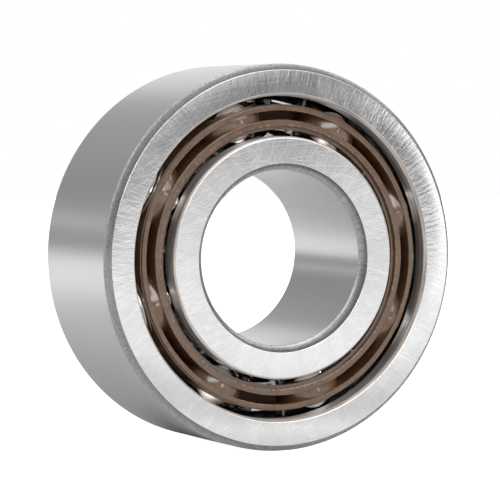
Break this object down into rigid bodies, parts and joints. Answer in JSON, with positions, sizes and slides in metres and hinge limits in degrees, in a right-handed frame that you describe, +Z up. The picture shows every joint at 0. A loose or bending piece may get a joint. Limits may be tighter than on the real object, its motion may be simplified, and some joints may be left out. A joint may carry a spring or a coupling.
{
  "type": "angular contact ball bearing",
  "caption": "Angular contact ball bearing with rows of steel balls in moulded snap cages between a solid outer ring and an inner ring with a shaft bore, open at both faces.",
  "frame": {"origin": "centre of the bearing, on its axis and midway between its faces", "axes": "+Y along the bearing axis towards the rear face, the front face looks towards -Y, +Z up"},
  "size_m": [0.11, 0.0444, 0.11],
  "materials": {
    "ring_steel": "ground bearing steel with turned corners and honed tracks",
    "ball_steel": "lapped bearing steel, mirror bright",
    "cage_polyamide": "moulded brown polyamide, satin"
  },
  "bodies": {
    "outer_ring": {"outer_ring": "ring_steel"},
    "inner_ring": {"inner_ring": "ring_steel"},
    "front_cage": {"front_cage": "cage_polyamide"},
    "rear_cage": {"rear_cage": "cage_polyamide"},
    "front_ball_1": {"front_ball_1": "ball_steel"},
    "front_ball_2": {"front_ball_2": "ball_steel"},
    "front_ball_3": {"front_ball_3": "ball_steel"},
    "front_ball_4": {"front_ball_4": "ball_steel"},
    "front_ball_5": {"front_ball_5": "ball_steel"},
    "front_ball_6": {"front_ball_6": "ball_steel"},
    "front_ball_7": {"front_ball_7": "ball_steel"},
    "front_ball_8": {"front_ball_8": "ball_steel"},
    "rear_ball_1": {"rear_ball_1": "ball_steel"},
    "rear_ball_2": {"rear_ball_2": "ball_steel"},
    "rear_ball_3": {"rear_ball_3": "ball_steel"},
    "rear_ball_4": {"rear_ball_4": "ball_steel"},
    "rear_ball_5": {"rear_ball_5": "ball_steel"},
    "rear_ball_6": {"rear_ball_6": "ball_steel"},
    "rear_ball_7": {"rear_ball_7": "ball_steel"},
    "rear_ball_8": {"rear_ball_8": "ball_steel"}
  },
  "joints": [
    {"name": "inner_ring_spin", "type": "hinge", "parent": "outer_ring", "child": "inner_ring", "pos_m": [0, 0, 0], "axis": [0, 1, 0], "continuous": true},
    {"name": "front_cage_spin", "type": "hinge", "parent": "outer_ring", "child": "front_cage", "pos_m": [0, 0, 0], "axis": [0, 1, 0], "continuous": true},
    {"name": "rear_cage_spin", "type": "hinge", "parent": "outer_ring", "child": "rear_cage", "pos_m": [0, 0, 0], "axis": [0, 1, 0], "continuous": true},
    {"name": "front_ball_1_spin", "type": "hinge", "parent": "front_cage", "child": "front_ball_1", "pos_m": [0.03801, -0.0096, 0.01309], "axis": [-0.4728, 0.866, -0.1628], "continuous": true},
    {"name": "front_ball_2_spin", "type": "hinge", "parent": "front_cage", "child": "front_ball_2", "pos_m": [0.01762, -0.0096, 0.03613], "axis": [-0.2192, 0.866, -0.4494], "continuous": true},
    {"name": "front_ball_3_spin", "type": "hinge", "parent": "front_cage", "child": "front_ball_3", "pos_m": [-0.01309, -0.0096, 0.03801], "axis": [0.1628, 0.866, -0.4728], "continuous": true},
    {"name": "front_ball_4_spin", "type": "hinge", "parent": "front_cage", "child": "front_ball_4", "pos_m": [-0.03613, -0.0096, 0.01762], "axis": [0.4494, 0.866, -0.2192], "continuous": true},
    {"name": "front_ball_5_spin", "type": "hinge", "parent": "front_cage", "child": "front_ball_5", "pos_m": [-0.03801, -0.0096, -0.01309], "axis": [0.4728, 0.866, 0.1628], "continuous": true},
    {"name": "front_ball_6_spin", "type": "hinge", "parent": "front_cage", "child": "front_ball_6", "pos_m": [-0.01762, -0.0096, -0.03613], "axis": [0.2192, 0.866, 0.4494], "continuous": true},
    {"name": "front_ball_7_spin", "type": "hinge", "parent": "front_cage", "child": "front_ball_7", "pos_m": [0.01309, -0.0096, -0.03801], "axis": [-0.1628, 0.866, 0.4728], "continuous": true},
    {"name": "front_ball_8_spin", "type": "hinge", "parent": "front_cage", "child": "front_ball_8", "pos_m": [0.03613, -0.0096, -0.01762], "axis": [-0.4494, 0.866, 0.2192], "continuous": true},
    {"name": "rear_ball_1_spin", "type": "hinge", "parent": "rear_cage", "child": "rear_ball_1", "pos_m": [-0.04013, 0.0096, 0.00245], "axis": [-0.4991, 0.866, 0.0305], "continuous": true},
    {"name": "rear_ball_2_spin", "type": "hinge", "parent": "rear_cage", "child": "rear_ball_2", "pos_m": [-0.02664, 0.0096, 0.03011], "axis": [-0.3313, 0.866, 0.3745], "continuous": true},
    {"name": "rear_ball_3_spin", "type": "hinge", "parent": "rear_cage", "child": "rear_ball_3", "pos_m": [0.00245, 0.0096, 0.04013], "axis": [0.0305, 0.866, 0.4991], "continuous": true},
    {"name": "rear_ball_4_spin", "type": "hinge", "parent": "rear_cage", "child": "rear_ball_4", "pos_m": [0.03011, 0.0096, 0.02664], "axis": [0.3745, 0.866, 0.3313], "continuous": true},
    {"name": "rear_ball_5_spin", "type": "hinge", "parent": "rear_cage", "child": "rear_ball_5", "pos_m": [0.04013, 0.0096, -0.00245], "axis": [0.4991, 0.866, -0.0305], "continuous": true},
    {"name": "rear_ball_6_spin", "type": "hinge", "parent": "rear_cage", "child": "rear_ball_6", "pos_m": [0.02664, 0.0096, -0.03011], "axis": [0.3313, 0.866, -0.3745], "continuous": true},
    {"name": "rear_ball_7_spin", "type": "hinge", "parent": "rear_cage", "child": "rear_ball_7", "pos_m": [-0.00245, 0.0096, -0.04013], "axis": [-0.0305, 0.866, -0.4991], "continuous": true},
    {"name": "rear_ball_8_spin", "type": "hinge", "parent": "rear_cage", "child": "rear_ball_8", "pos_m": [-0.03011, 0.0096, -0.02664], "axis": [-0.3745, 0.866, -0.3313], "continuous": true}
  ],
  "couplings": [
    {"joint": "front_cage_spin", "follows": "inner_ring_spin", "ratio": 0.40595},
    {"joint": "rear_cage_spin", "follows": "inner_ring_spin", "ratio": 0.40595},
    {"joint": "front_ball_1_spin", "follows": "inner_ring_spin", "ratio": -2.2207},
    {"joint": "front_ball_2_spin", "follows": "inner_ring_spin", "ratio": -2.2207},
    {"joint": "front_ball_3_spin", "follows": "inner_ring_spin", "ratio": -2.2207},
    {"joint": "front_ball_4_spin", "follows": "inner_ring_spin", "ratio": -2.2207},
    {"joint": "front_ball_5_spin", "follows": "inner_ring_spin", "ratio": -2.2207},
    {"joint": "front_ball_6_spin", "follows": "inner_ring_spin", "ratio": -2.2207},
    {"joint": "front_ball_7_spin", "follows": "inner_ring_spin", "ratio": -2.2207},
    {"joint": "front_ball_8_spin", "follows": "inner_ring_spin", "ratio": -2.2207},
    {"joint": "rear_ball_1_spin", "follows": "inner_ring_spin", "ratio": -2.2207},
    {"joint": "rear_ball_2_spin", "follows": "inner_ring_spin", "ratio": -2.2207},
    {"joint": "rear_ball_3_spin", "follows": "inner_ring_spin", "ratio": -2.2207},
    {"joint": "rear_ball_4_spin", "follows": "inner_ring_spin", "ratio": -2.2207},
    {"joint": "rear_ball_5_spin", "follows": "inner_ring_spin", "ratio": -2.2207},
    {"joint": "rear_ball_6_spin", "follows": "inner_ring_spin", "ratio": -2.2207},
    {"joint": "rear_ball_7_spin", "follows": "inner_ring_spin", "ratio": -2.2207},
    {"joint": "rear_ball_8_spin", "follows": "inner_ring_spin", "ratio": -2.2207}
  ]
}
